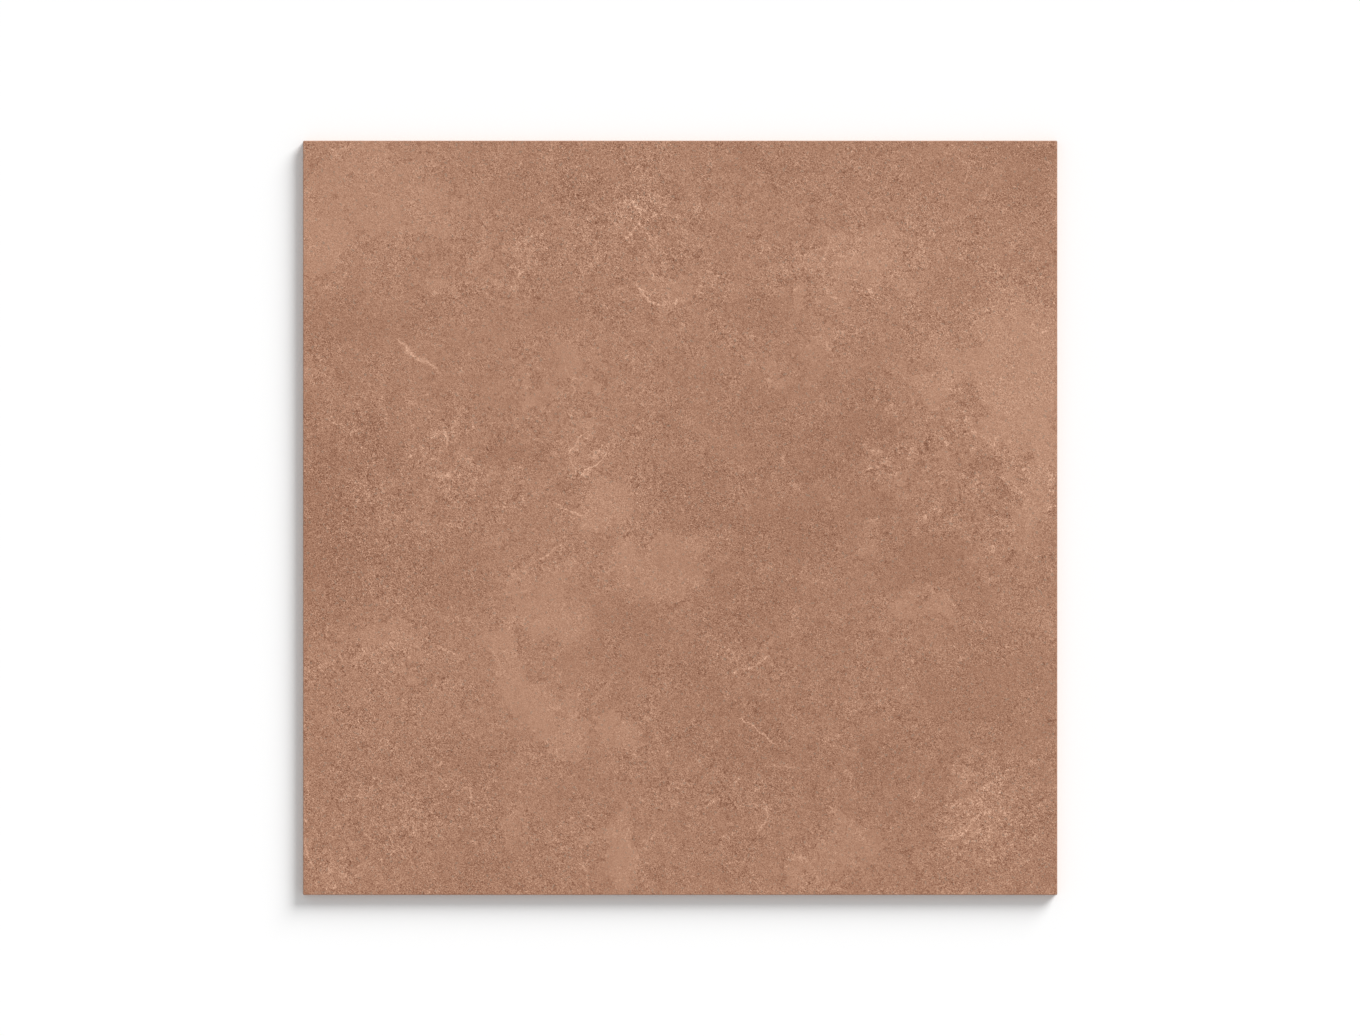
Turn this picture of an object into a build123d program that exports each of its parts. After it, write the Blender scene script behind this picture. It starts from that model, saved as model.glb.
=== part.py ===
# A square, rectified porcelain floor tile, lying face up on its back.
# The origin is the middle of the back, at the level of the ribs that the tile lies on, and +Z points
# to the walking face. All sizes are in millimetres.
import os

from build123d import *

# Outside of the tile
tile_side = 597.0  # a 600 module less one joint, ground to size on all four edges
tile_thickness = 9.5
face_arris = 0.5  # fine bevel ground round the walking face
corner_arris = 0.6  # the same on the four upright corners

# Moulded back, which keys into the adhesive: square recesses with thin ribs between them
cells_per_side = 16
border_width = 9.0  # plain band from the ground edge to the outermost recesses
rib_width = 2.5
recess_depth = 0.5
recess_corner_cut = 4.0  # each recess has its four corners cut off straight
recess_draft = 45.0  # degrees that a recess wall leans back, so that the pressed tile leaves its die

# The recesses and the ribs between them fill the back inside the border
pattern_side = tile_side - 2 * border_width
recess_side = (pattern_side - (cells_per_side - 1) * rib_width) / cells_per_side
recess_pitch = recess_side + rib_width

# One recess of the back, with its mouth on the plane of the ribs
with BuildPart() as back_recess:
    with BuildSketch(Plane.XY) as recess_mouth:
        Rectangle(recess_side, recess_side)
        chamfer(recess_mouth.vertices(), length=recess_corner_cut)
    extrude(amount=recess_depth, taper=recess_draft)

with BuildPart() as floor_tile:
    # Slab, with the fine bevels of its ground edges
    with BuildSketch(Plane.XY):
        Rectangle(tile_side, tile_side)
    extrude(amount=tile_thickness)
    chamfer(floor_tile.edges().filter_by(Axis.Z), length=corner_arris)
    chamfer(floor_tile.faces().sort_by(Axis.Z)[-1].edges(), length=face_arris)

    # The back, pressed into its grid of recesses
    with GridLocations(recess_pitch, recess_pitch, cells_per_side, cells_per_side):
        add(back_recess.part, mode=Mode.SUBTRACT)

floor_tile.part.label = "floor_tile"

os.makedirs("parts", exist_ok=True)
export_step(floor_tile.part, "parts/floor_tile.step")
print("recess side", round(recess_side, 2), "pitch", round(recess_pitch, 2))
print("volume share of the full slab", round(floor_tile.part.volume / (tile_side**2 * tile_thickness), 4))
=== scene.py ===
import math

import bpy
import numpy as np
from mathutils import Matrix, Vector


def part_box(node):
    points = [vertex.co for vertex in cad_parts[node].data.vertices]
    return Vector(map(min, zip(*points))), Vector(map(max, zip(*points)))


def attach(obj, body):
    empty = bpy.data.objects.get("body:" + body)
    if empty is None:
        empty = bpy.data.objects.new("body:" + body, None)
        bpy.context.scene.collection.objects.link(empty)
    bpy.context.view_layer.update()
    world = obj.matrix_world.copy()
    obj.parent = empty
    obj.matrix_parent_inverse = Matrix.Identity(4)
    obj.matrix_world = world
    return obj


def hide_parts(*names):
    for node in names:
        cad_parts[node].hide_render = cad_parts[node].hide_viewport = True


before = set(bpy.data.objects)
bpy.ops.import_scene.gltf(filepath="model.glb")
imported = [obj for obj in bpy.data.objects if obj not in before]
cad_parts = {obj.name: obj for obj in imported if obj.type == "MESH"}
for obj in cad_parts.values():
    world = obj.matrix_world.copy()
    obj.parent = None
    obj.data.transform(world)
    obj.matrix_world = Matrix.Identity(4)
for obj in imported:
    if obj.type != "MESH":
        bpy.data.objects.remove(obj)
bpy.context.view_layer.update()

MM = 0.001

# The photograph's frame, and the tile's place in it, in its pixels
FRAME_WIDTH, FRAME_HEIGHT = 1360, 1036
TILE_LEFT, TILE_TOP, TILE_PIXELS = 303.0, 140.65, 754.35

low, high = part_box("floor_tile")
SIDE = (high.x - low.x) / MM
HALF = SIDE / 2
TOP = high.z / MM
PIXEL = SIDE / TILE_PIXELS  # mm

# Sizes of the tile's forms, as in its solid (mm)
FACE_ARRIS = 0.5
CORNER_ARRIS = 0.6
CELLS = 16
BORDER = 9.0
RIB = 2.5
RECESS_DEPTH = 0.5
RECESS_CORNER = 4.0
RECESS_LEAN = 0.5  # how far a recess wall leans in from mouth to floor
FACE_STEPS = 250  # divisions of the walking face along each side
RELIEF = 0.06  # mm between the face's high and low places
RELIEF_RIM = 4.0  # mm over which the relief fades out at the arris
RIM_SLACK = 0.01  # mm within which a point counts as on the face's outline


def on_tile(px, py):
    """A pixel of the photograph as a place on the face, in mm from its middle."""
    return (px - TILE_LEFT) * PIXEL - HALF, HALF - (py - TILE_TOP) * PIXEL


# What the eye reads on the photographed face. Places and sizes are the photograph's pixels.
# Each cloud: middle x, middle y, half width, half height, tone (pale above 0), and degrees of tilt if any
SHADES = [
    (370, 190, 130, 110, 3.0), (1050, 370, 120, 130, 4.0), (850, 270, 190, 90, 1.5),
    (310, 520, 100, 110, -3.0), (790, 520, 120, 120, -2.5), (750, 730, 170, 120, -3.0),
    (450, 870, 180, 90, -3.0), (970, 820, 170, 130, -3.0), (560, 560, 70, 190, 1.0),
]
BROAD_CLOUDS = [
    (316, 240, 20, 33, 8), (370, 195, 60, 50, 4), (436, 181, 30, 40, 3), (502, 274, 50, 50, 3),
    (860, 267, 50, 35, 8), (661, 280, 30, 20, 4), (1020, 375, 45, 75, 11), (940, 366, 32, 30, 6),
    (767, 373, 55, 22, 5), (568, 380, 60, 40, 3), (1026, 526, 24, 32, 7), (900, 480, 32, 22, 3),
    (602, 512, 26, 26, 8), (661, 572, 50, 25, 6), (548, 605, 35, 42, 5), (502, 652, 16, 22, 7),
    (529, 685, 34, 20, 9, -45), (568, 725, 26, 26, 6), (621, 738, 26, 16, 7), (913, 605, 26, 20, 4),
    (621, 857, 20, 36, 8), (515, 831, 22, 18, 6), (820, 857, 60, 40, 3), (980, 818, 32, 42, 4),
    (383, 658, 60, 30, 3), (343, 857, 42, 30, 3), (754, 655, 40, 22, 2), (585, 460, 30, 24, 3),
    (330, 566, 40, 70, -8), (383, 433, 30, 36, -5), (323, 473, 30, 60, -5), (356, 320, 60, 25, -4),
    (515, 453, 42, 18, -8), (436, 566, 52, 40, -5), (741, 406, 60, 40, -5), (827, 386, 16, 12, -6),
    (874, 433, 22, 30, -8), (807, 460, 60, 40, -6), (701, 499, 42, 35, -6), (781, 539, 62, 35, -7),
    (913, 552, 42, 30, -7), (621, 632, 35, 42, -7), (694, 678, 25, 30, -10), (728, 605, 42, 40, -4),
    (741, 738, 62, 30, -5), (966, 692, 52, 36, -8), (1033, 685, 22, 20, -7), (462, 758, 42, 25, -8),
    (369, 765, 52, 18, -6), (887, 765, 22, 30, -7), (873, 805, 32, 20, -3), (475, 882, 52, 20, -6),
    (728, 864, 60, 40, -3), (1020, 181, 22, 30, -7), (953, 287, 32, 30, -4), (767, 168, 60, 20, -5),
    (595, 313, 60, 20, -4), (741, 313, 50, 20, -5), (590, 190, 40, 30, -4), (790, 775, 60, 40, -3),
]
# The smaller ones, region by region
CLOUDS = {
    "top left": [
        (415, 225, 38, 38, 2), (437, 287, 9, 10, 7), (308, 368, 7, 6, 9), (520, 165, 20, 12, -5),
        (520, 185, 28, 16, -4), (528, 210, 15, 11, -5), (430, 314, 13, 10, -8), (345, 322, 48, 20, -5),
        (360, 345, 55, 22, -3), (407, 330, 9, 9, -8), (306, 385, 8, 12, -6), (345, 376, 7, 6, -10),
        (549, 370, 9, 16, -6),
    ],
    "top middle": [
        (800, 300, 8, 14, 6), (573, 345, 20, 25, 3), (745, 150, 20, 12, -5), (575, 185, 22, 16, -6),
        (676, 195, 6, 20, -7), (790, 165, 14, 12, -5), (656, 231, 10, 11, -7), (630, 243, 12, 10, -6),
        (590, 310, 38, 12, -4), (730, 305, 20, 10, -5), (770, 310, 20, 20, -5), (685, 368, 12, 24, -5),
    ],
    "top right": [
        (850, 275, 25, 20, 3), (880, 265, 16, 10, 6), (830, 300, 20, 14, 4), (1048, 313, 4, 4, 14),
        (830, 345, 30, 20, 3), (990, 350, 20, 28, 4), (1015, 335, 14, 8, 6), (1045, 350, 12, 16, 8),
        (935, 390, 14, 10, 7), (955, 370, 16, 14, 6), (975, 365, 8, 6, 9), (1000, 385, 20, 10, 5),
        (1045, 380, 12, 20, 7), (860, 150, 8, 14, -6), (1010, 150, 30, 12, -4), (846, 170, 8, 9, -8),
        (847, 187, 9, 8, -7), (905, 190, 20, 12, -4), (1028, 188, 10, 14, -7), (808, 233, 12, 6, -8),
        (1010, 262, 12, 8, -6), (955, 285, 32, 20, -4), (860, 348, 20, 12, -4), (832, 385, 12, 7, -9),
        (865, 380, 20, 14, -6), (925, 367, 14, 8, -7),
    ],
    "left": [
        (443, 478, 10, 6, 8), (325, 635, 16, 10, 5), (395, 635, 38, 12, 4), (540, 622, 16, 18, 5),
        (505, 640, 14, 8, 6), (308, 412, 8, 10, -8), (372, 430, 8, 13, -7), (308, 475, 10, 12, -6),
        (336, 465, 32, 16, -5), (390, 465, 15, 11, -7), (500, 455, 22, 12, -5), (520, 447, 14, 8, -6),
        (538, 463, 13, 12, -8), (360, 505, 48, 12, -4), (330, 535, 26, 20, -5), (385, 555, 16, 10, -6),
        (306, 575, 6, 20, -6), (330, 570, 28, 20, -4), (395, 568, 10, 8, -8), (430, 585, 20, 16, -6),
        (470, 580, 24, 20, -4),
    ],
    "middle": [
        (605, 500, 22, 12, 6), (610, 510, 12, 8, 6), (590, 523, 10, 8, 12), (628, 552, 12, 13, 5),
        (690, 545, 12, 8, 6), (668, 586, 26, 13, 5), (570, 625, 18, 16, 4), (665, 430, 20, 18, -4),
        (772, 410, 7, 10, -8), (648, 470, 10, 14, -6), (675, 475, 10, 6, -8), (727, 475, 18, 8, -7),
        (570, 486, 13, 8, -8), (690, 512, 30, 18, -5), (668, 522, 6, 6, -10), (760, 520, 38, 14, -4),
        (790, 530, 20, 14, -4), (575, 588, 12, 9, -6), (612, 577, 8, 6, -9), (731, 592, 11, 7, -7),
        (790, 590, 20, 20, -4), (625, 615, 16, 14, -6), (640, 625, 20, 14, -5), (660, 635, 12, 10, -6),
        (695, 625, 10, 8, -7), (725, 625, 14, 14, -6), (770, 600, 20, 20, -4),
    ],
    "right": [
        (930, 400, 8, 14, 7), (985, 430, 24, 14, 4), (1010, 400, 20, 14, 8), (1035, 425, 14, 14, 7),
        (1050, 400, 10, 14, 8), (1040, 470, 12, 14, 8), (1045, 450, 12, 16, 9), (1012, 480, 6, 14, 8),
        (1030, 510, 12, 8, 7), (869, 551, 10, 10, 7), (905, 610, 14, 12, 5), (943, 605, 17, 7, 8, -64),
        (1050, 632, 8, 12, 7), (845, 428, 12, 10, -6), (852, 418, 12, 8, -8), (888, 431, 12, 9, -8),
        (893, 428, 6, 8, -9), (857, 440, 5, 5, -10), (986, 463, 13, 8, -6), (812, 482, 8, 8, -8),
        (855, 488, 8, 7, -8), (870, 505, 30, 14, -4), (985, 508, 4, 3, -10), (1001, 490, 6, 7, -10),
        (1010, 500, 10, 8, -9), (911, 548, 15, 10, -8), (915, 575, 20, 10, -5), (950, 560, 24, 20, -4),
        (960, 580, 24, 14, -5), (820, 628, 14, 8, -6), (975, 608, 22, 12, -5), (985, 635, 30, 10, -5),
    ],
    "bottom left": [
        (460, 658, 3, 3, 10), (530, 690, 14, 12, 6), (549, 713, 9, 15, 6), (440, 736, 4, 3, 10),
        (305, 839, 4, 6, 14), (498, 891, 11, 3, 10), (510, 749, 14, 10, -7), (436, 791, 5, 9, -9),
        (484, 769, 20, 10, -8), (455, 800, 20, 8, -5), (468, 838, 16, 18, -4), (447, 870, 10, 12, -6),
        (500, 868, 12, 8, -6),
    ],
    "bottom middle": [
        (563, 737, 8, 12, 6), (580, 733, 12, 14, 5), (613, 730, 14, 13, 6), (631, 737, 10, 12, 9),
        (618, 831, 15, 8, 7), (625, 862, 15, 18, 5), (792, 872, 14, 16, 4), (691, 661, 4, 14, -8),
        (608, 704, 12, 6, -8), (683, 690, 7, 10, -9), (706, 690, 11, 13, -7), (650, 734, 3, 6, -10),
        (560, 790, 9, 7, -8), (659, 876, 7, 13, -8), (753, 843, 16, 8, -6),
    ],
    "bottom right": [
        (956, 834, 3, 3, 12), (972, 822, 5, 3, 10), (825, 865, 20, 20, 3), (855, 840, 24, 20, 3),
        (1011, 851, 8, 6, 9), (1035, 673, 11, 8, -7), (932, 684, 14, 16, -6), (945, 701, 5, 3, -10),
        (960, 690, 16, 10, -5), (975, 712, 26, 12, -4), (1003, 715, 16, 13, -5), (1046, 690, 11, 9, -6),
        (949, 744, 9, 10, -7), (1033, 735, 17, 6, -8), (870, 761, 12, 9, -6), (1040, 878, 16, 12, -5),
    ],
}
# Where the grit is stronger or weaker: as a cloud, with the change in its strength
GRIT = [
    (600, 220, 100, 70, 0.45), (640, 215, 24, 40, 0.4), (920, 265, 130, 75, 0.35),
    (395, 500, 95, 100, 0.35), (650, 485, 90, 50, 0.3), (400, 755, 98, 130, 0.3),
    (1000, 490, 50, 50, 0.3), (1005, 832, 46, 58, 0.6), (520, 380, 80, 60, -0.4),
    (985, 805, 34, 26, 0.3), (335, 430, 36, 75, 0.25), (345, 740, 50, 130, 0.2), (758, 775, 24, 70, 0.3),
    (795, 360, 65, 55, -0.3), (855, 465, 26, 64, -0.3), (950, 572, 50, 28, -0.4),
    (620, 862, 26, 36, -0.4), (845, 835, 46, 60, -0.3), (660, 565, 100, 24, -0.25),
    (550, 670, 50, 90, -0.4), (1033, 738, 20, 9, -0.3),
]
# Where small peels stand out more or less
RUGGED = [
    (965, 478, 92, 74, 1.3), (700, 240, 150, 72, 0.6), (510, 460, 125, 80, 0.7), (345, 460, 42, 130, 0.5),
    (1000, 825, 58, 60, 0.7), (745, 765, 140, 120, 0.4), (395, 815, 92, 66, 0.4), (528, 360, 92, 46, -0.3),
    (972, 690, 85, 46, -0.3), (400, 215, 100, 70, -0.3),
]
# Where fine pale cracks make a web
WEBS = [
    (1003, 835, 50, 58, 1.0), (640, 220, 34, 46, 0.7), (440, 460, 40, 40, 0.6),
    (925, 265, 120, 60, 0.35), (398, 850, 40, 44, 0.5), (600, 235, 80, 40, 0.3),
]
# Pale veins: the tone, the width in mm, and the places that each goes through
VEINS = {
    "right of the middle": (26, 0.9, [(743, 720), (750, 723), (757, 730), (766, 736), (776, 745)]),
    "top middle": (20, 1.5, [(638, 285), (643, 292), (650, 301), (660, 305)]),
    "upper left": (17, 2.0, [(400, 340), (410, 353), (418, 359), (430, 362), (440, 372)]),
    "lower left": (16, 1.1, [(378, 860), (385, 853), (395, 839), (403, 832), (412, 828), (425, 822)]),
    "left edge, low": (14, 1.0, [(306, 846), (308, 855), (313, 870), (317, 885)]),
    "centre, left fork": (18, 1.0, [(583, 433), (576, 444), (570, 450), (570, 458), (575, 468)]),
    "centre, right fork": (17, 1.0, [(608, 447), (606, 455), (598, 465), (585, 470)]),
    "above the crust": (18, 1.1, [(555, 503), (565, 510), (580, 515)]),
    "bottom loop": (15, 1.0, [(764, 803), (768, 812), (768, 820), (762, 826), (757, 832)]),
    "bottom, short": (9, 1.0, [(722, 837), (735, 834)]),
    "lower right, flat": (8, 0.8, [(989, 783), (1020, 786), (1052, 788)]),
    "right edge": (8, 0.8, [(1036, 748), (1047, 746)]),
    "right of centre, flat": (8, 0.8, [(765, 766), (797, 768)]),
    "centre right": (13, 0.9, [(734, 672), (737, 669), (747, 669), (755, 667), (762, 660), (770, 655)]),
    "centre": (10, 0.9, [(691, 683), (695, 691), (700, 697)]),
    "top cluster": (18, 1.3, [(632, 200), (640, 210), (640, 225), (632, 232), (625, 238)]),
    "top cluster, right": (11, 1.0, [(650, 196), (665, 205)]),
    "top cluster, lower right": (11, 1.0, [(655, 213), (678, 218)]),
    "below the cluster": (11, 1.0, [(613, 333), (625, 340), (633, 350)]),
    "upper middle": (9, 1.0, [(703, 268), (712, 275)]),
    "upper left of the middle": (7, 1.0, [(563, 360), (568, 378), (585, 380)]),
    "top right, upper": (12, 1.0, [(945, 152), (958, 157), (966, 165)]),
    "top right, lower": (12, 1.0, [(968, 172), (963, 185)]),
    "upper right": (11, 1.0, [(832, 240), (822, 265)]),
    "left": (15, 1.0, [(333, 423), (340, 425), (350, 432)]),
    "left, right half": (17, 1.1, [(352, 433), (360, 428)]),
    "left network, top": (14, 1.1, [(443, 425), (446, 438), (447, 446)]),
    "left network, right": (11, 1.0, [(455, 435), (465, 430)]),
    "left network": (11, 1.0, [(420, 448), (428, 462)]),
    "left network, low": (10, 1.0, [(460, 455), (470, 460)]),
    "below the crust": (11, 1.0, [(530, 565), (545, 557), (553, 550), (560, 545)]),
    "below the crust, twig": (8, 0.9, [(533, 570), (536, 580)]),
    "middle left": (7, 0.9, [(500, 597), (515, 592), (525, 590)]),
    "middle bracket": (8, 0.9, [(720, 465), (735, 462), (742, 470)]),
    "right": (10, 1.0, [(897, 412), (899, 450)]),
    "left of the middle, short": (10, 1.0, [(490, 648), (500, 665)]),
    "left, short": (17, 1.2, [(443, 647), (448, 650), (455, 654)]),
    "lower left, short": (14, 1.1, [(433, 743), (438, 749)]),
    "low left arc": (5, 1.3, [(490, 783), (500, 773), (510, 766), (522, 760), (545, 755), (557, 750)]),
    "low left, upright": (9, 1.0, [(470, 788), (470, 808)]),
    "low left twig": (9, 0.9, [(438, 833), (444, 841)]),
    "bottom peel": (6, 1.1, [
        (603, 825), (615, 833), (625, 837), (632, 850), (640, 862), (645, 876), (652, 890),
    ]),
    "bottom arc": (11, 1.0, [(580, 865), (587, 870), (588, 885)]),
    "web, long": (17, 1.1, [(980, 800), (983, 808), (978, 815), (972, 822), (966, 830), (957, 834)]),
    "web, right": (11, 1.0, [(1012, 820), (1005, 838)]),
    "web, top": (10, 1.0, [(988, 790), (1003, 800)]),
    "web, flat": (9, 1.0, [(985, 820), (1000, 820)]),
}
# Dark hairlines
HAIRLINES = {
    "top": (-9, 1.0, [(525, 270), (538, 300)]),
    "lower left": (-10, 1.0, [(337, 660), (346, 674)]),
}


class Fields:
    """Soft fields over the face, worked out at places x, y in mm."""

    def __init__(self, x, y):
        self.x, self.y = x, y

    def noise(self, cell, seed):
        """Smooth noise from -1 to 1 with one value in each cell, of this size in mm."""
        values = np.random.RandomState(seed).uniform(-1, 1, (256, 256))
        u, v = self.x / cell + 100.5, self.y / cell + 100.5
        i, j = np.floor(u).astype(int), np.floor(v).astype(int)
        a, b = u - i, v - j
        a, b = a * a * (3 - 2 * a), b * b * (3 - 2 * b)
        near = values[i % 256, j % 256] * (1 - a) + values[(i + 1) % 256, j % 256] * a
        far = values[i % 256, (j + 1) % 256] * (1 - a) + values[(i + 1) % 256, (j + 1) % 256] * a
        return near * (1 - b) + far * b

    def warped(self, amount, cell, seed):
        """The same places, each moved by up to this many mm."""
        return Fields(self.x + amount * self.noise(cell, seed), self.y + amount * self.noise(cell, seed + 1))

    def clouds(self, rows, edge):
        """The sum of ellipses, with edges as sharp as asked."""
        total = np.zeros_like(self.x)
        for px, py, along, across, strength, *tilt in rows:
            cx, cy = on_tile(px, py)
            turn = math.radians(tilt[0]) if tilt else 0.0
            c, s = math.cos(turn), math.sin(turn)
            u = ((self.x - cx) * c + (self.y - cy) * s) / (along * PIXEL)
            v = ((self.y - cy) * c - (self.x - cx) * s) / (across * PIXEL)
            total += strength * np.exp(-((u * u + v * v) ** edge) * CLOUD_FALL)
        return total

    def strokes(self, named, reach):
        """At each place, for the nearest stroke: how far off it is, in its half widths, and its tone."""
        best = np.full(self.x.shape, 1e3)
        signed = np.full(self.x.shape, 1e3)
        tone = np.zeros_like(self.x)
        for strength, width, points in named.values():
            line = rounded(np.array([on_tile(*p) for p in points]))
            for a, b in zip(line[:-1], line[1:]):
                d = b - a
                length = math.hypot(*d)
                t = np.clip(((self.x - a[0]) * d[0] + (self.y - a[1]) * d[1]) / length**2, 0, 1)
                gap = np.hypot(self.x - a[0] - t * d[0], self.y - a[1] - t * d[1])
                side = (self.x - a[0]) * d[1] - (self.y - a[1]) * d[0]
                nearer = gap < best
                best = np.where(nearer, gap, best)
                signed = np.where(nearer, np.where(side < 0, -gap, gap) * 2 / width, signed)
                tone = np.where(nearer, strength, tone)
        return np.clip(signed, -2 * reach, 2 * reach), tone * np.clip(1.5 - 1.5 * best / reach, 0, 1)


def rounded(line):
    """A line with its corners cut twice, and its ends kept."""
    for _ in range(2):
        mids = np.concatenate([0.75 * line[:-1] + 0.25 * line[1:], 0.25 * line[:-1] + 0.75 * line[1:]], 1)
        line = np.concatenate([line[:1], mids.reshape(-1, 2), line[-1:]])
    return line


CLOUD_FALL = 0.9  # how far a cloud has faded at its half width
CLOUD_EDGE, SHADE_EDGE = 3.0, 1.2  # how sharply the clouds and the broad shades end
VEIN_REACH = 4.5  # mm


def face_fields(x, y):
    """The named values that the walking face's material reads at each place."""
    here = Fields(x, y)
    bent = here.warped(14, 34, 71).warped(12, 15, 81).warped(5, 6.5, 91)
    loose = here.warped(5, 11, 11).warped(3, 5.5, 21)
    patches = here.warped(9, 28, 41)
    traced = here.warped(0.9, 6, 31)
    vein, vein_tone = traced.strokes(VEINS | HAIRLINES, VEIN_REACH)
    return {
        "shade": here.clouds(SHADES, SHADE_EDGE),
        "broad": bent.clouds(BROAD_CLOUDS, CLOUD_EDGE),
        "cloud": loose.clouds([row for rows in CLOUDS.values() for row in rows], CLOUD_EDGE),
        "grit": 1.0 + patches.clouds(GRIT, SHADE_EDGE),
        "rugged": 0.9 + patches.clouds(RUGGED, SHADE_EDGE),
        "web": here.warped(9, 28, 51).clouds(WEBS, SHADE_EDGE),
        "vein": vein,
        "vein_tone": vein_tone,
    }


def relief(x, y):
    """How far the face lies below its highest level at each place, in mm."""
    here = Fields(x, y)
    wave = 0.5 + 0.3 * here.noise(55, 61) + 0.25 * here.noise(19, 62) + 0.25 * here.noise(7, 63)
    rim = HALF - FACE_ARRIS - np.maximum(np.abs(x), np.abs(y))
    return RELIEF * np.clip(wave, 0, 1) * np.clip(rim / RELIEF_RIM, 0, 1)


# The tile's mesh, closed all round
FACE, EDGE, BACK = 0, 1, 2


class MeshParts:
    """Collects places and faces, each place once."""

    def __init__(self):
        self.places, self.faces, self.slots, self.known = [], [], [], {}

    def at(self, x, y, z):
        key = (round(x, 4), round(y, 4), round(z, 4))
        if key not in self.known:
            self.known[key] = len(self.places)
            self.places.append((x, y, z))
        return self.known[key]

    def face(self, corners, slot):
        self.faces.append(corners)
        self.slots.append(slot)

    def ring(self, half, cut, stops, z):
        """The four sides' points of a square with cut corners, each a list from its low to its high end."""
        along = [-half + cut, *stops[1:-1], half - cut]
        return [[self.at(c * t + s * half, s * t - c * half, z) for t in along] for c, s in TURNS]

    def join(self, lower, upper):
        """Edge faces between two rings, whose sides may have different numbers of points."""
        for side in range(4):
            lo, up = lower[side], upper[side]
            i = j = 0
            low_end, up_end = len(lo) - 1, len(up) - 1
            while i < low_end or j < up_end:
                if low_end == up_end:
                    self.face([lo[i], lo[i + 1], up[j + 1], up[j]], EDGE)
                    i, j = i + 1, j + 1
                elif j == up_end or (i < low_end and (i + 1) * up_end <= (j + 1) * low_end):
                    self.face([lo[i], lo[i + 1], up[j]], EDGE)
                    i += 1
                else:
                    self.face([lo[i], up[j + 1], up[j]], EDGE)
                    j += 1
            after = (side + 1) % 4
            self.face([lo[-1], lower[after][0], upper[after][0], up[-1]], EDGE)


TURNS = ((1, 0), (0, 1), (-1, 0), (0, -1))  # near, right, far and left side: the way that each runs


def grid_nodes(rim, stops, z, parts):
    """The corners of a grid inside a ring. A corner of the square has two, one each side of its cut."""
    last = len(stops) - 1
    nodes = {}
    for i in range(1, last):
        for j in range(1, last):
            nodes[i, j] = (parts.at(stops[i], stops[j], z),)
    for k in range(1, last):
        nodes[k, 0] = (rim[0][k],)
        nodes[last, k] = (rim[1][k],)
        nodes[last - k, last] = (rim[2][k],)
        nodes[0, last - k] = (rim[3][k],)
    for side, corner in enumerate(((last, 0), (last, last), (0, last), (0, 0))):
        nodes[corner] = (rim[side][-1], rim[(side + 1) % 4][0])
    return nodes


def walking_face(parts):
    """The even grid of the walking face. Gives back its outline."""
    inner = HALF - FACE_ARRIS
    cut = CORNER_ARRIS - FACE_ARRIS * (2 - math.sqrt(2))
    stops = list(np.linspace(-inner, inner, FACE_STEPS + 1))
    rim = parts.ring(inner, cut, stops, TOP)
    nodes = grid_nodes(rim, stops, TOP, parts)
    for i in range(FACE_STEPS):
        for j in range(FACE_STEPS):
            square = (i, j), (i + 1, j), (i + 1, j + 1), (i, j + 1)
            parts.face([n for corner in square for n in nodes[corner]], FACE)
    return rim, stops


def moulded_back(parts):
    """The ribs and border that the tile lies on, and the recesses above them. Gives back its outline."""
    side = (SIDE - 2 * BORDER - (CELLS - 1) * RIB) / CELLS
    starts = [-HALF + BORDER + k * (side + RIB) for k in range(CELLS)]
    breaks = [-HALF]
    for start in starts:
        breaks += [start, start + RECESS_CORNER, start + side - RECESS_CORNER, start + side]
    breaks.append(HALF)
    rim = parts.ring(HALF, CORNER_ARRIS, breaks, 0.0)
    nodes = grid_nodes(rim, breaks, 0.0, parts)
    for i in range(len(breaks) - 1):
        for j in range(len(breaks) - 1):
            # 1, 2 and 3 are the three bands of a recess, and 0 is a rib or the border
            u, v = i % 4, j % 4
            square = (i, j), (i, j + 1), (i + 1, j + 1), (i + 1, j)
            if u == 0 or v == 0:
                parts.face([n for corner in square for n in reversed(nodes[corner])], BACK)
            elif u != 2 and v != 2:
                # The cut corner of a recess: the half of this square that stays on the ribs
                inward = (i + (u == 1), j + (v == 1))
                parts.face([nodes[corner][0] for corner in square if corner != inward], BACK)
    for x in starts:
        for y in starts:
            mouth = octagon(parts, x, y, side, RECESS_CORNER, 0.0)
            roof_side = side - 2 * RECESS_LEAN
            roof_corner = RECESS_CORNER - RECESS_LEAN * (2 - math.sqrt(2))
            roof = octagon(parts, x + RECESS_LEAN, y + RECESS_LEAN, roof_side, roof_corner, RECESS_DEPTH)
            for k in range(8):
                m = (k + 1) % 8
                parts.face([mouth[m], mouth[k], roof[k], roof[m]], BACK)
            parts.face(roof[::-1], BACK)
    return rim


def octagon(parts, x, y, side, cut, z):
    """A square with cut corners, from its low corner."""
    a, b = cut, side - cut
    spots = ((a, 0), (b, 0), (side, a), (side, b), (b, side), (a, side), (0, b), (0, a))
    return [parts.at(x + u, y + v, z) for u, v in spots]


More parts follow.
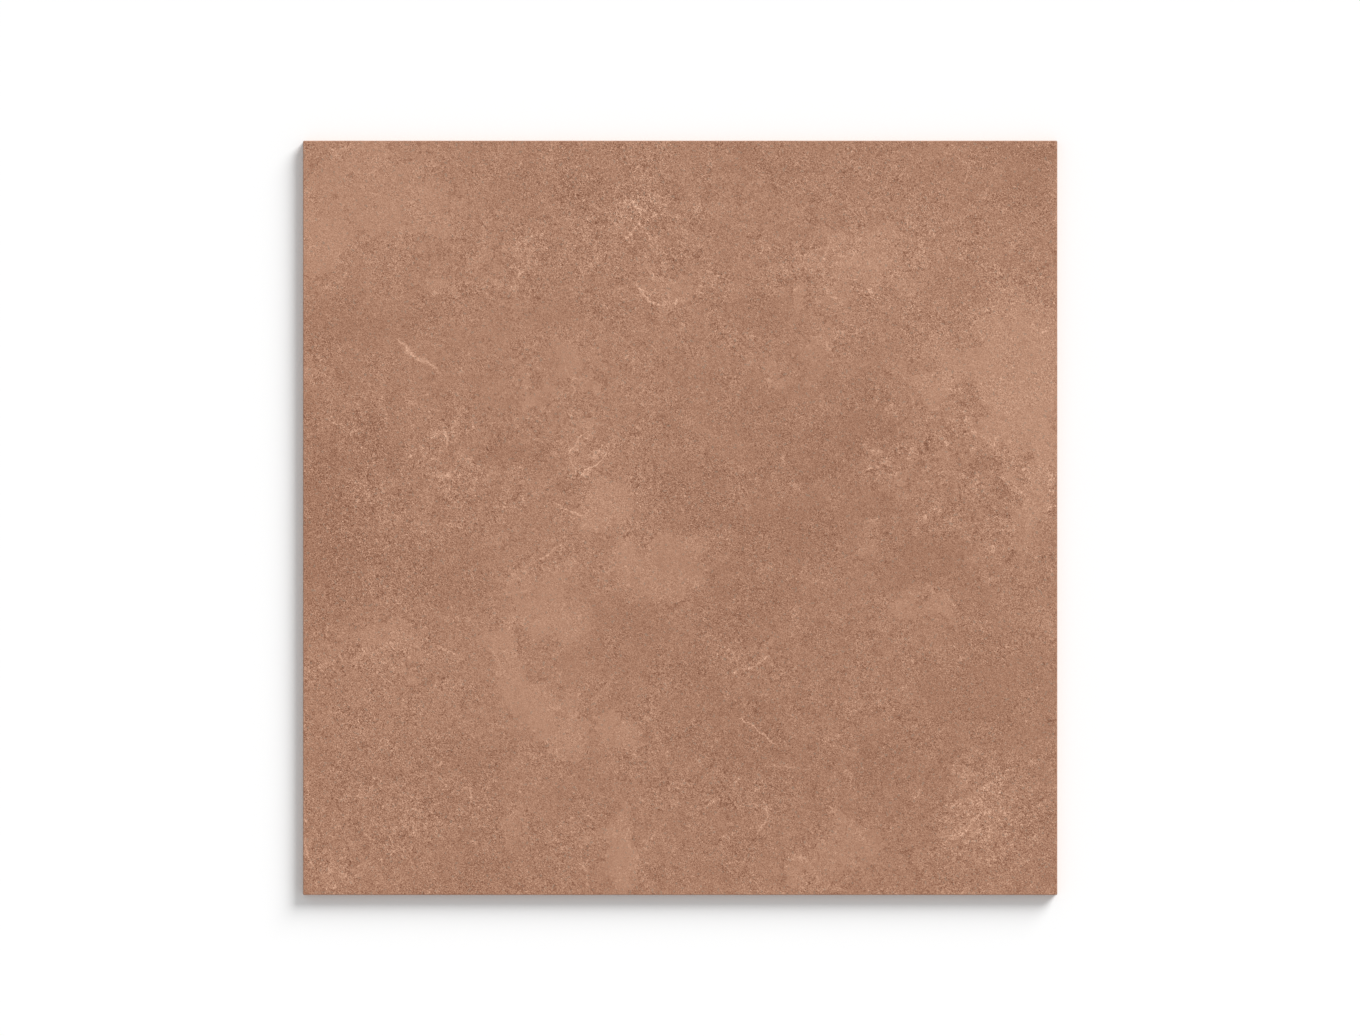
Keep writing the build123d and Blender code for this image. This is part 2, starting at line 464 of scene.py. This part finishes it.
def build_tile():
    parts = MeshParts()
    top, stops = walking_face(parts)
    brow = parts.ring(HALF, CORNER_ARRIS, stops, TOP - FACE_ARRIS)
    parts.join(brow, top)
    foot = moulded_back(parts)
    parts.join(foot, brow)

    places = np.array(parts.places)
    on_face = places[:, 2] > TOP - FACE_ARRIS / 2
    places[:, 2] -= np.where(on_face, relief(places[:, 0], places[:, 1]), 0)
    mesh = bpy.data.meshes.new("tile")
    mesh.from_pydata((places * MM).tolist(), [], parts.faces)
    mesh.polygons.foreach_set("material_index", parts.slots)
    mesh.polygons.foreach_set("use_smooth", [slot == FACE for slot in parts.slots])
    mesh.update(calc_edges=True)
    # The face is shaded smooth, and its outline sharp, so that the arris doesn't darken or brighten it
    on_rim = on_face & (np.abs(places[:, :2]).max(1) > HALF - FACE_ARRIS - RIM_SLACK)
    for edge in mesh.edges:
        edge.use_edge_sharp = bool(on_rim[edge.vertices[0]] and on_rim[edge.vertices[1]])
    for name, values in face_fields(places[:, 0], places[:, 1]).items():
        layer = mesh.attributes.new(name, "FLOAT", "POINT")
        layer.data.foreach_set("value", values.astype(np.float32))
    mesh.update()
    lay_out(mesh, places)
    return mesh


# The map that the finish is stored by: the face is large, its edges are strips above it, and the back is
# in two halves beside it
MAP_FACE = 0.78  # the face's side, as a share of the map
MAP_GAP = 0.005
MAP_BACK = 0.204 / HALF  # of the map, for each mm of the back
MAP_SECOND_HALF = 0.5  # how far up the back's right half starts


def lay_out(mesh, places):
    """A map in which nothing overlaps."""
    per_mm = MAP_FACE / SIDE
    layer = mesh.uv_layers.new(name="OFBake")
    spots = np.empty((len(mesh.loops), 2))
    strip = TOP * per_mm + MAP_GAP
    for polygon in mesh.polygons:
        loops = list(polygon.loop_indices)
        x, y, z = places[[mesh.loops[k].vertex_index for k in loops]].T
        if polygon.material_index == FACE:
            u, v = MAP_GAP + (x + HALF) * per_mm, MAP_GAP + (y + HALF) * per_mm
        elif polygon.material_index == EDGE:
            side = side_of(polygon.normal)
            c, s = TURNS[side]
            u = MAP_GAP + (c * x + s * y + HALF) * per_mm
            v = 2 * MAP_GAP + MAP_FACE + side * strip + z * per_mm
        else:
            right = x.mean() > 0
            u = MAP_FACE + 2 * MAP_GAP + (x if right else x + HALF) * MAP_BACK
            v = MAP_GAP + (y + HALF) * MAP_BACK + (MAP_SECOND_HALF if right else 0)
        spots[loops, 0], spots[loops, 1] = u, v
    layer.data.foreach_set("uv", spots.ravel())


def side_of(normal):
    """Which side an edge face is on. The cut corner after a side counts with it."""
    turn = math.degrees(math.atan2(normal.y, normal.x)) + 90
    return int(((turn + 1) % 360) // 90)


# Materials

def linear(r, g, b):
    """A colour as a screen shows it, 0 to 255, as the light values that a shader takes."""
    out = []
    for c in (r, g, b):
        c /= 255
        out.append(c / 12.92 if c <= 0.04045 else ((c + 0.055) / 1.055) ** 2.4)
    return (*out, 1.0)


class Shader:
    """Adds nodes to one material. Every call gives back an output, or takes outputs and plain numbers."""

    def __init__(self, name):
        self.material = bpy.data.materials.new(name)
        self.material.use_nodes = True
        self.nodes, self.links = self.material.node_tree.nodes, self.material.node_tree.links
        self.nodes.clear()
        self.place = self.nodes.new("ShaderNodeTexCoord").outputs["Object"]

    def put(self, socket, value):
        if isinstance(value, bpy.types.NodeSocket):
            self.links.new(value, socket)
        else:
            socket.default_value = value

    def calc(self, kind, *values, clamp=False):
        node = self.nodes.new("ShaderNodeMath")
        node.operation, node.use_clamp = kind, clamp
        for socket, value in zip(node.inputs, values):
            self.put(socket, value)
        return node.outputs[0]

    def add(self, *values):
        total = values[0]
        for value in values[1:]:
            total = self.calc("ADD", total, value)
        return total

    def times(self, a, b):
        return self.calc("MULTIPLY", a, b)

    def step(self, value, start, end):
        """0 before start and 1 after end, smoothly."""
        node = self.nodes.new("ShaderNodeMapRange")
        node.interpolation_type = "SMOOTHSTEP"
        self.put(node.inputs["Value"], value)
        self.put(node.inputs["From Min"], start)
        self.put(node.inputs["From Max"], end)
        return node.outputs["Result"]

    def peel(self, value, level, height):
        """A flat patch where the value is above the level, this much above the rest and half each way."""
        inside = self.step(value, level - PEEL_EDGE, level + PEEL_EDGE)
        return self.times(self.calc("SUBTRACT", inside, 0.5), height)

    def line(self, value, level, width):
        """A thin line, 0 to 1, where the value is at the level."""
        return self.step(self.calc("ABSOLUTE", self.calc("SUBTRACT", value, level)), width, 0.3 * width)

    def moved(self, seed, stretch=(1.0, 1.0, 1.0)):
        """The place on the tile, scaled along each axis, turned and shifted by the seed."""
        node = self.nodes.new("ShaderNodeMapping")
        self.put(node.inputs["Vector"], self.place)
        node.inputs["Scale"].default_value = stretch
        node.inputs["Rotation"].default_value = OBLIQUE
        node.inputs["Location"].default_value = [seed * shift for shift in SEED_SHIFT]
        return node.outputs[0]

    def noise(self, size, seed, detail=0.0, rough=0.5, distort=0.0, stretch=(1.0, 1.0, 1.0)):
        """Noise round 0, about -1 to 1, with features of this size in mm."""
        node = self.nodes.new("ShaderNodeTexNoise")
        self.put(node.inputs["Vector"], self.moved(seed, stretch))
        node.inputs["Scale"].default_value = 1 / (size * MM)
        node.inputs["Detail"].default_value = detail
        node.inputs["Roughness"].default_value = rough
        node.inputs["Distortion"].default_value = distort
        return self.calc("MULTIPLY_ADD", node.outputs["Fac"], 2.0, -1.0)

    def worms(self, size, seed, width, cut):
        """Short bent flecks, 0 to 1: the lines along which a noise is 0, cut up by another."""
        line = self.step(self.calc("ABSOLUTE", self.noise(size, seed, distort=0.6)), width, 0.0)
        return self.times(line, self.step(self.noise(size * 0.6, seed + 50), cut, cut + 0.2))

    def grains(self, rows):
        """The sum of plain noises, given as rows of size, seed, distortion and tone."""
        layers = []
        for size, seed, distort, tone in rows:
            layers.append(self.times(self.noise(size, seed, distort=distort), tone))
        return self.add(*layers)

    def dots(self, size, seed, cut):
        """Small crisp patches, 0 to 1: where a noise is above the cut."""
        return self.step(self.noise(size, seed, detail=1.0, distort=0.5), cut, cut + 0.12)

    def cracks(self, size, seed, width):
        """A web of cracks round cells of this size in mm, 0 to 1."""
        bend = self.nodes.new("ShaderNodeTexNoise")
        self.put(bend.inputs["Vector"], self.moved(seed))
        bend.inputs["Scale"].default_value = 2.2 / (size * MM)
        bend.inputs["Detail"].default_value = 1.0
        shift = self.nodes.new("ShaderNodeVectorMath")
        shift.operation = "MULTIPLY_ADD"
        self.put(shift.inputs[0], bend.outputs["Color"])
        shift.inputs[1].default_value = (0.5 * size * MM,) * 3
        self.put(shift.inputs[2], self.place)
        cells = self.nodes.new("ShaderNodeTexVoronoi")
        cells.feature = "DISTANCE_TO_EDGE"
        self.put(cells.inputs["Vector"], shift.outputs[0])
        cells.inputs["Scale"].default_value = 1 / (size * MM)
        return self.step(cells.outputs["Distance"], width / size, 0.0)

    def read(self, name):
        node = self.nodes.new("ShaderNodeAttribute")
        node.attribute_name = name
        return node.outputs["Fac"]

    def toned(self, tone, middle, tone_step, low, high):
        """The colour at a tone: the middle colour, and so many steps from it."""
        share = self.calc("DIVIDE", self.calc("SUBTRACT", tone, low), high - low, clamp=True)
        node = self.nodes.new("ShaderNodeValToRGB")
        self.put(node.inputs["Fac"], share)
        elements = node.color_ramp.elements
        while len(elements) < RAMP_STOPS:
            elements.new(0.5)
        for k, element in enumerate(elements):
            element.position = k / (RAMP_STOPS - 1)
            t = low + (high - low) * element.position
            element.color = linear(*[m + d * t for m, d in zip(middle, tone_step)])
        return node.outputs["Color"]

    def blend(self, share, first, second):
        node = self.nodes.new("ShaderNodeMix")
        node.data_type = "RGBA"
        for name, value in (("Factor", share), ("A", first), ("B", second)):
            sockets = [i for i in node.inputs if i.name == name and i.enabled]
            self.put(sockets[0], value)
        return next(o for o in node.outputs if o.enabled)

    def finish(self, colour, roughness, height, depth, specular=0.3):
        principled = self.nodes.new("ShaderNodeBsdfPrincipled")
        self.put(principled.inputs["Base Color"], colour)
        self.put(principled.inputs["Roughness"], roughness)
        principled.inputs["Specular IOR Level"].default_value = specular
        bump = self.nodes.new("ShaderNodeBump")
        bump.inputs["Distance"].default_value = depth * MM
        self.put(bump.inputs["Height"], height)
        self.links.new(bump.outputs["Normal"], principled.inputs["Normal"])
        out = self.nodes.new("ShaderNodeOutputMaterial")
        self.links.new(principled.outputs["BSDF"], out.inputs["Surface"])
        return self.material


RAMP_STOPS = 9
OBLIQUE = (0.61, 0.47, 0.53)  # radians: keeps the rows of the noise's own grid out of the surfaces
SEED_SHIFT = (1.37, -2.11, 0.73)  # metres that one step of a seed moves a noise
PEEL_EDGE = 0.25  # half the change of the value over which a peel begins
# Colours at tone 0, and what one step of tone adds
FACE_COLOUR, FACE_STEP = (171.6, 125.9, 100.9), (1.03, 1.02, 0.97)
BODY_COLOUR, BODY_STEP = (168.0, 129.0, 108.0), (1.0, 1.0, 0.95)
WASH_COLOUR = (206, 190, 176)
GREY_SPECK = (150, 128, 110)

# The walking face's pattern, with sizes in mm and strengths in steps of tone. Each noise has its own seed.
BROAD_SHARE, CLOUD_SHARE = 0.8, 0.9  # how much the placed clouds count in the peels
CLOUD_TONE = 0.05  # what they add of themselves
# The fields that peels are cut from: size, seed, detail, roughness, strength, and share of the placed clouds
PEEL_FIELDS = {
    "large": (10.0, 1, 4.0, 0.56, 6.0, 1.0),
    "small": (11.0, 2, 3.0, 0.42, 11.0, 0.4),
    "tiny": (4.6, 22, 2.0, 0.4, 11.0, 0.3),
}
# Peels: the field, the level that they start at, and how much paler they are
LARGE_PEELS = [("large", 2.3, 3.6), ("large", 5.4, 1.2), ("large", -2.4, 2.2)]
SMALL_PEELS = [("small", 2.0, 2.2), ("small", -2.2, 2.4), ("tiny", 1.7, 1.9), ("tiny", -1.9, 1.9)]
# Lines along the peels' rims: the field, its level there, the line's width in the field, and its tone
RIMS = [
    ("large", 2.4, 0.5, 12.0), ("small", 2.15, 0.5, 13.0), ("tiny", 1.8, 0.65, 9.0),
    ("small", -2.35, 0.5, -11.0), ("tiny", -2.05, 0.65, -9.0),
]
SHORE_LEVEL, SHORE_WIDTH, CRUMB_TONE = 1.4, 1.0, -15.0  # dark crumbs along the shore of the large peels
# Plain noises: size, seed, distortion and tone
MOTTLE = [(13.0, 3, 0.6, 0.8), (5.0, 4, 0.8, 2.5)]
FINE_GRAIN = [(1.3, 6, 1.0, 9.0), (0.7, 7, 0.8, 58.0)]
# Crisp dots: size, seed, cut and tone
DOTS = [(1.3, 23, 0.28, 13.0), (1.4, 24, 0.26, -14.0)]
# Short bent flecks: size, seed, width, cut and tone
FLECKS = [(5.0, 11, 0.06, 0.0, 22.0), (3.4, 27, 0.08, 0.05, 15.0), (4.0, 12, 0.08, 0.0, -20.0)]
SPECK_TONE = 20.0
VEIN_CRINKLE = 5.0  # how far the veins are bent, in their half widths
VEIN_STRENGTH = 1.9  # over the tone that each vein is given, because it is thinner than the grid
WEB_CELL, WEB_WIDTH, WEB_TONE = 8.0, 0.9, 26.0
GREY_SHARE = 0.55


def face_material():
    """Printed, matt glazed porcelain that looks like troweled clay-coloured cement."""
    s = Shader("printed_face")
    # Peels: flat patches with crisp fretted shores, which follow the placed clouds
    rugged = s.read("rugged")
    cloud = s.add(s.times(s.read("broad"), BROAD_SHARE), s.times(s.read("cloud"), CLOUD_SHARE))
    fields = {}
    for name, (size, seed, detail, rough, strength, share) in PEEL_FIELDS.items():
        wander = s.noise(size, seed, detail=detail, rough=rough)
        fields[name] = s.add(s.times(cloud, share), s.times(wander, strength))
    fretted = s.add(*[s.peel(fields[name], level, height) for name, level, height in SMALL_PEELS])
    peels = s.add(*[s.peel(fields[name], level, height) for name, level, height in LARGE_PEELS])
    peels = s.add(peels, s.times(fretted, rugged))
    # Their rims, clear in some places and lost in others
    patchy = s.step(s.noise(30, 19, detail=5.0, rough=0.6), -0.12, 0.1)
    crest = s.noise(7.0, 14, detail=1.0)
    crested = s.times(s.step(crest, -0.15, 0.2), s.calc("MULTIPLY_ADD", patchy, 0.7, 0.4))
    rims = s.add(*[s.times(s.line(fields[name], level, width), tone) for name, level, width, tone in RIMS])
    rims = s.times(rims, s.times(rugged, crested))
    shore = s.line(fields["large"], SHORE_LEVEL, SHORE_WIDTH)
    crumbs = s.times(s.times(shore, s.step(s.noise(2.4, 18, detail=1.0), 0.0, 0.15)), CRUMB_TONE)
    # Grit: even grain, crisp dots and short bent flecks, strong in some patches and weak on the pale peels
    on_peel = s.step(fields["large"], 2.2, 2.6)
    grit = s.add(s.read("grit"), s.times(patchy, 0.5), s.times(on_peel, -0.3), -0.3)
    flecks = s.add(
        *[s.times(s.dots(size, seed, cut), tone) for size, seed, cut, tone in DOTS],
        *[s.times(s.worms(size, seed, width, cut), tone) for size, seed, width, cut, tone in FLECKS],
    )
    fine_share = s.calc("MULTIPLY_ADD", grit, 0.6, 0.35)
    grain = s.add(s.times(s.grains(FINE_GRAIN), fine_share), s.times(flecks, grit))
    # Clusters of near-white specks
    specks = s.times(s.step(s.noise(1.5, 20), 0.34, 0.5), s.step(s.noise(17, 21, detail=3.0), 0.14, 0.3))
    # Veins, broken along their length, and the finer web
    crinkle = s.times(s.noise(3.6, 8, detail=3.0, rough=0.6), VEIN_CRINKLE)
    gap = s.calc("ABSOLUTE", s.add(s.read("vein"), crinkle))
    broken = s.step(s.noise(2.6, 9, detail=1.0), -0.5, 0.0)
    vein = s.times(s.times(s.step(gap, 2.0, 0.5), s.read("vein_tone")), s.times(broken, VEIN_STRENGTH))
    web = s.times(s.cracks(WEB_CELL, 13, WEB_WIDTH), s.step(crest, -0.15, 0.25))
    web = s.times(web, s.times(s.read("web"), WEB_TONE))
    tone = s.add(
        s.read("shade"),
        s.times(cloud, CLOUD_TONE),
        peels,
        rims,
        crumbs,
        s.grains(MOTTLE),
        grain,
        s.times(specks, SPECK_TONE),
        vein,
        web,
    )
    colour = s.toned(tone, FACE_COLOUR, FACE_STEP, -50.0, 70.0)
    # Greyer specks
    grey = s.times(s.step(s.noise(1.9, 15), 0.36, 0.55), GREY_SHARE)
    colour = s.blend(grey, colour, linear(*GREY_SPECK))
    rough = s.calc("MULTIPLY_ADD", grain, -0.004, 0.7)
    return s.finish(colour, rough, grain, 0.0015)


def ground_material():
    """The fired body, ground along the four edges and the arris."""
    s = Shader("ground_edge")
    streaks = s.add(
        s.times(s.noise(0.55, 1, detail=2.0, stretch=(0.02, 0.02, 1.0)), 9.0),
        s.times(s.noise(1.6, 2, detail=1.0, stretch=(0.05, 0.05, 1.0)), 5.0),
    )
    specks = s.add(
        s.times(s.step(s.noise(0.9, 3), 0.3, 0.5), 16.0),
        s.times(s.step(s.noise(1.1, 4), 0.3, 0.5), -18.0),
        s.times(s.noise(14, 5, detail=1.0), 4.0),
    )
    colour = s.toned(s.add(streaks, specks), BODY_COLOUR, BODY_STEP, -40.0, 40.0)
    return s.finish(colour, s.calc("MULTIPLY_ADD", streaks, 0.012, 0.62), streaks, 0.003)


def back_material():
    """The pressed back: the fired body, with a pale kiln wash on what touched the rollers."""
    s = Shader("kiln_back")
    grain = s.add(
        s.times(s.noise(40, 1, detail=1.0), 5.0),
        s.times(s.noise(7, 2, detail=2.0), 6.0),
        s.times(s.noise(1.3, 3, detail=1.0), 9.0),
        s.times(s.step(s.noise(1.8, 4), 0.34, 0.5), -24.0),
    )
    body = s.toned(grain, BODY_COLOUR, BODY_STEP, -50.0, 40.0)
    height = s.nodes.new("ShaderNodeSeparateXYZ")
    s.put(height.inputs[0], s.place)
    on_rib = s.step(height.outputs["Z"], 0.3 * RECESS_DEPTH * MM, 0.0)
    rolled = s.noise(9, 5, detail=2.0, stretch=(0.12, 1.0, 1.0))
    worn = s.step(s.add(rolled, s.times(s.noise(2.2, 6, detail=2.0), 0.6)), -0.35, 0.3)
    colour = s.blend(s.times(s.times(on_rib, worn), 0.75), body, linear(*WASH_COLOUR))
    return s.finish(colour, 0.88, grain, 0.004, 0.2)


tile_mesh = build_tile()
for make in (face_material, ground_material, back_material):
    tile_mesh.materials.append(make())
tile = bpy.data.objects.new("tile", tile_mesh)
bpy.context.scene.collection.objects.link(tile)
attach(tile, "root")
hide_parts("floor_tile")

# Floor
FLOOR_HALF = 30.0
FLOOR_DROP = 0.0002
FLOOR_GREY = 0.8
floor_mesh = bpy.data.meshes.new("floor")
floor_corners = [(FLOOR_HALF * (c - s), FLOOR_HALF * (s + c), 0) for c, s in TURNS]
floor_mesh.from_pydata(floor_corners, [], [(0, 1, 2, 3)])
floor = bpy.data.objects.new("floor", floor_mesh)
floor.location.z = -FLOOR_DROP
bpy.context.scene.collection.objects.link(floor)


def seen_by_camera(nodes, links):
    """1 on a ray from the camera, and on one that it sends through gloss or glass, else 0."""
    path = nodes.new("ShaderNodeLightPath")
    total = path.outputs["Is Camera Ray"]
    for name in ("Is Glossy Ray", "Is Transmission Ray"):
        most = nodes.new("ShaderNodeMath")
        most.operation = "MAXIMUM"
        links.new(total, most.inputs[0])
        links.new(path.outputs[name], most.inputs[1])
        total = most.outputs[0]
    return total


paper = bpy.data.materials.new("pale_floor")
paper.use_nodes = True
nodes, links = paper.node_tree.nodes, paper.node_tree.links
nodes.clear()
shown = nodes.new("ShaderNodeMix")
shown.data_type = "RGBA"
shown.inputs["A"].default_value = (FLOOR_GREY, FLOOR_GREY, FLOOR_GREY, 1)
shown.inputs["B"].default_value = (1, 1, 1, 1)
links.new(seen_by_camera(nodes, links), shown.inputs["Factor"])
matt = nodes.new("ShaderNodeBsdfDiffuse")
links.new(shown.outputs["Result"], matt.inputs["Color"])
out = nodes.new("ShaderNodeOutputMaterial")
links.new(matt.outputs["BSDF"], out.inputs["Surface"])
floor_mesh.materials.append(paper)

# Light: an even dome of soft light, and a broad lamp from the photograph's upper right
DOME = 0.53
LAMP_SHARE = 0.477
LAMP_HEIGHT = 26.0  # degrees above the floor
LAMP_TURN = 50.8  # degrees from +X towards +Y
LAMP_WIDTH = 33.0  # degrees across
world = bpy.data.worlds.new("soft_room")
bpy.context.scene.world = world
world.use_nodes = True
nodes, links = world.node_tree.nodes, world.node_tree.links
nodes.clear()
strength = nodes.new("ShaderNodeMix")
strength.inputs["A"].default_value = DOME
strength.inputs["B"].default_value = 1.0
links.new(seen_by_camera(nodes, links), strength.inputs["Factor"])
sky = nodes.new("ShaderNodeBackground")
sky.inputs["Color"].default_value = (1, 1, 1, 1)
links.new(strength.outputs["Result"], sky.inputs["Strength"])
out = nodes.new("ShaderNodeOutputWorld")
links.new(sky.outputs["Background"], out.inputs["Surface"])

lamp_data = bpy.data.lights.new("broad_lamp", "SUN")
lamp_data.energy = LAMP_SHARE * math.pi / math.sin(math.radians(LAMP_HEIGHT))
lamp_data.angle = math.radians(LAMP_WIDTH)
lamp = bpy.data.objects.new("broad_lamp", lamp_data)
bpy.context.scene.collection.objects.link(lamp)
level = math.cos(math.radians(LAMP_HEIGHT))
turn = math.radians(LAMP_TURN)
toward = Vector((level * math.cos(turn), level * math.sin(turn), math.sin(math.radians(LAMP_HEIGHT))))
lamp.rotation_euler = toward.to_track_quat("Z", "Y").to_euler()
lamp.location = toward

# Camera: straight above the tile, with the photograph's framing
SENSOR = 36.0
LENS = 200.0
camera_data = bpy.data.cameras.new("camera")
camera_data.sensor_width = SENSOR
camera_data.lens = LENS
camera_data.clip_end = 100
view_width = SIDE * MM * FRAME_WIDTH / TILE_PIXELS
camera = bpy.data.objects.new("camera", camera_data)
aim_x, aim_y = on_tile(FRAME_WIDTH / 2, FRAME_HEIGHT / 2)
camera.location = (aim_x * MM, aim_y * MM, TOP * MM + view_width * LENS / SENSOR)
bpy.context.scene.collection.objects.link(camera)
bpy.context.scene.camera = camera
bpy.context.scene.view_settings.view_transform = "Standard"
